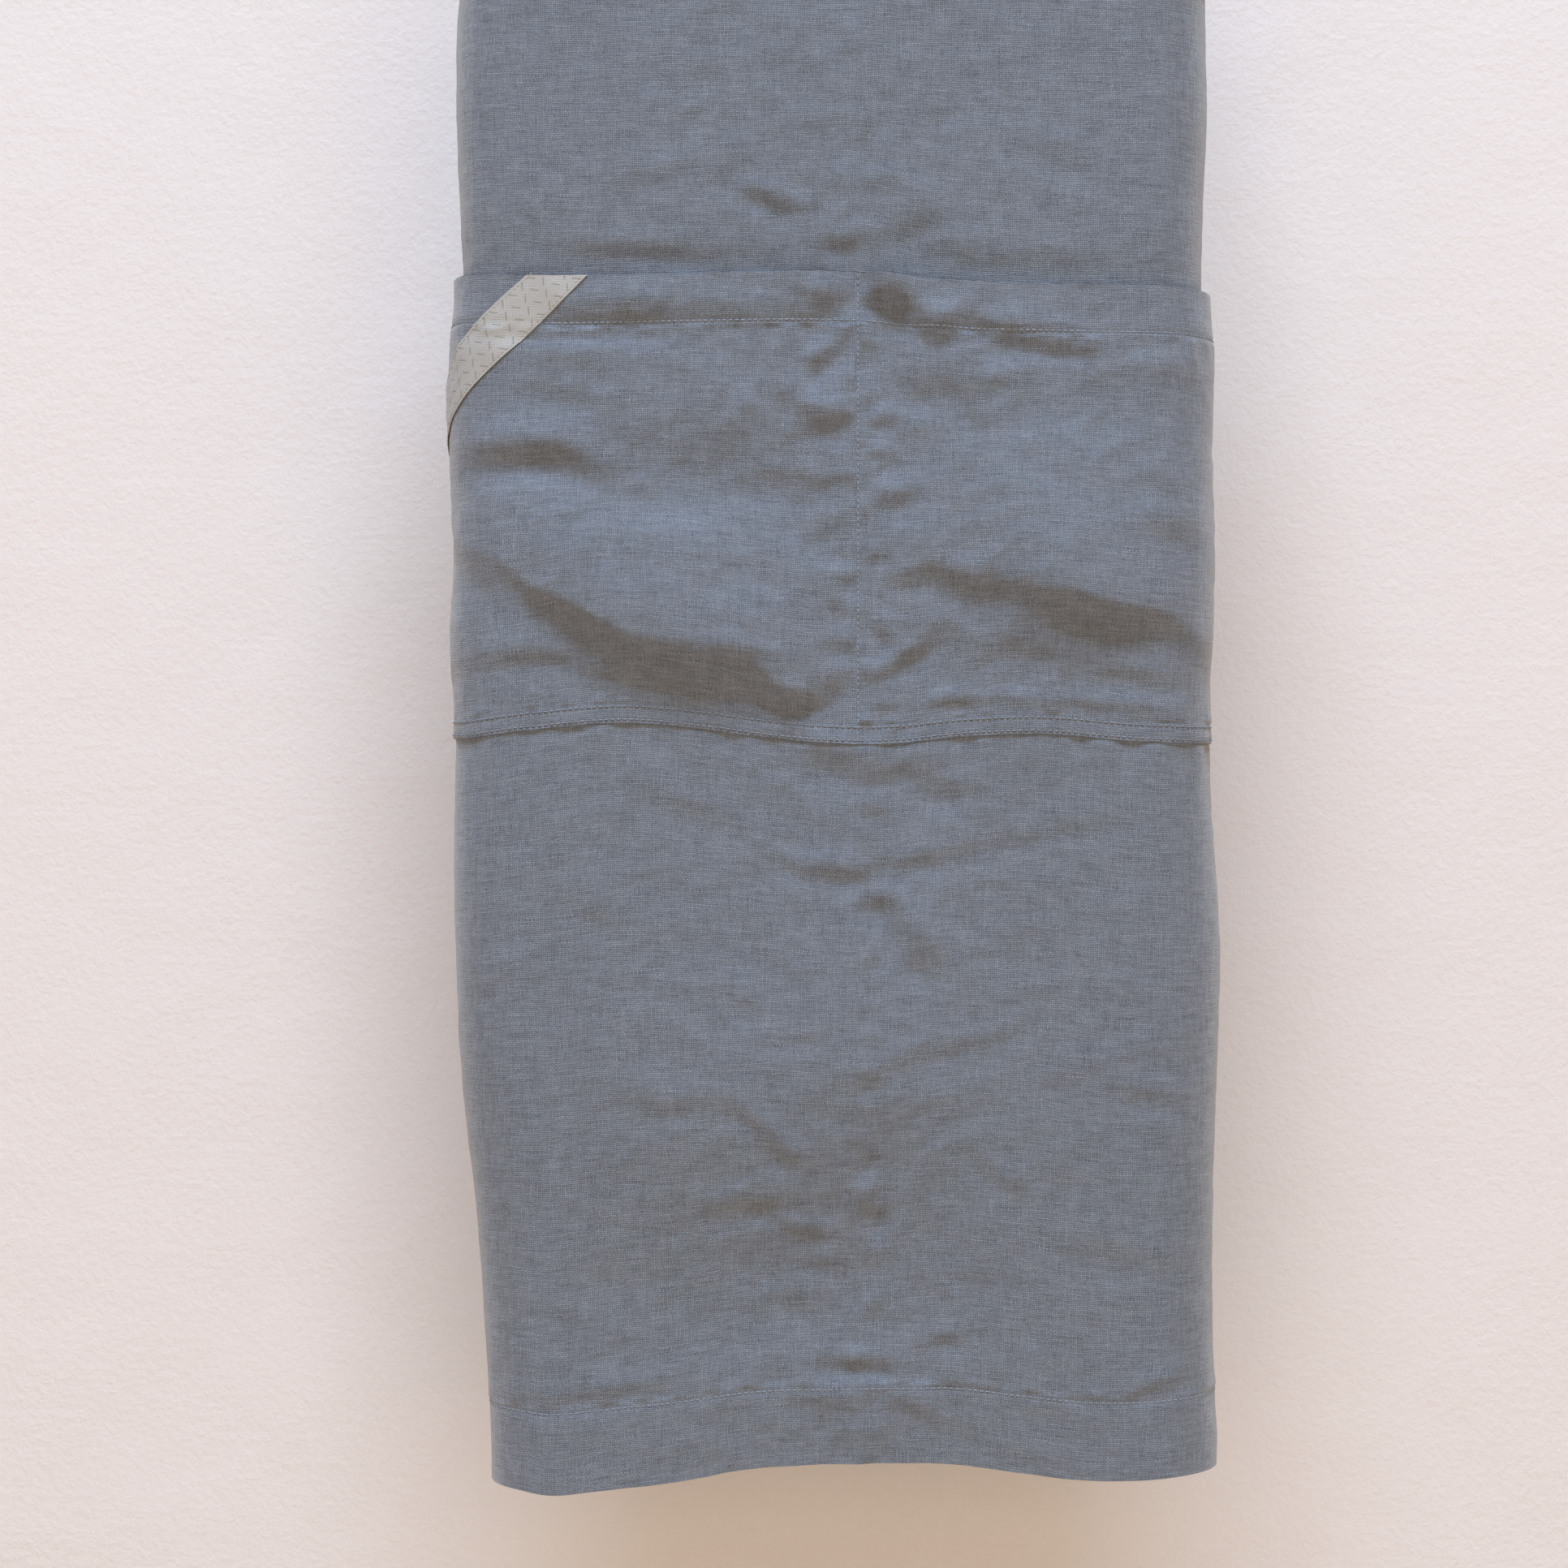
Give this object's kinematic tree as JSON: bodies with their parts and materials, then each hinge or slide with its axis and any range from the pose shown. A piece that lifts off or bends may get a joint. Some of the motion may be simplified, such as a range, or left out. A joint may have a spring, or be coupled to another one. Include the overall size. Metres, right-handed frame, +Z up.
{
  "type": "smock apron",
  "caption": "Cross-back linen smock apron hung by its straps, sides folded back, with a wide divided front pocket and a woven tape across one pocket corner.",
  "frame": {"origin": "middle of the peg that the crossed straps rest on", "axes": "+Z up along the apron, +X to the right seen from the front, the front faces -Y"},
  "size_m": [0.3859, 0.0907, 1.1697],
  "materials": {
    "linen": "washed blue-grey plain-weave linen",
    "thread": "matched sewing thread",
    "woven_tape": "undyed herringbone cotton tape"
  },
  "bodies": {
    "front": {"front_panel": "linen", "bib_top_hem": "linen", "bottom_hem_front": "linen", "left_armhole_binding": "linen", "right_armhole_binding": "linen", "left_side_fold": "linen", "right_side_fold": "linen", "left_hem_fold": "linen", "right_hem_fold": "linen", "left_fold_binding": "linen", "right_fold_binding": "linen", "pocket_bottom_seam": "linen", "pocket_centre_seam": "linen", "pocket_bartack": "thread", "left_pocket_return": "linen", "right_pocket_return": "linen", "left_strap": "linen", "right_strap": "linen", "left_strap_back_leg": "linen", "right_strap_back_leg": "linen", "bib_strap_stitches": "thread"},
    "left_wing": {"left_wing_panel": "linen", "left_wing_bottom_hem": "linen", "left_wing_top_binding": "linen", "left_wing_back_hem": "linen", "left_pocket_side_hem": "linen", "right_strap_end": "linen", "right_strap_end_stitches": "thread"},
    "right_wing": {"right_wing_panel": "linen", "right_wing_bottom_hem": "linen", "right_wing_top_binding": "linen", "right_wing_back_hem": "linen", "right_pocket_side_hem": "linen", "left_strap_end": "linen", "left_strap_end_stitches": "thread"},
    "left_pocket": {"left_pocket_panel": "linen", "left_pocket_top_hem": "linen", "corner_tape": "woven_tape"},
    "right_pocket": {"right_pocket_panel": "linen", "right_pocket_top_hem": "linen"}
  },
  "joints": [
    {"name": "left_wing_open", "type": "hinge", "parent": "front", "child": "left_wing", "pos_m": [-0.162, 0, -0.784], "axis": [0, 0, 1], "range_deg": [0, 60], "deforming": ["left_side_fold", "left_hem_fold", "left_fold_binding", "left_pocket_return", "right_strap_back_leg", "corner_tape"]},
    {"name": "right_wing_open", "type": "hinge", "parent": "front", "child": "right_wing", "pos_m": [0.142, 0, -0.784], "axis": [0, 0, -1], "range_deg": [0, 60], "deforming": ["right_side_fold", "right_hem_fold", "right_fold_binding", "right_pocket_return", "left_strap_back_leg"]},
    {"name": "left_pocket_open", "type": "hinge", "parent": "front", "child": "left_pocket", "pos_m": [-0.0825, -0.03595, -0.7837], "axis": [1, 0, 0], "range_deg": [0, 9], "stiffness_Nm_per_rad": 0.1},
    {"name": "right_pocket_open", "type": "hinge", "parent": "front", "child": "right_pocket", "pos_m": [0.0725, -0.03595, -0.7837], "axis": [1, 0, 0], "range_deg": [0, 9], "stiffness_Nm_per_rad": 0.1}
  ]
}
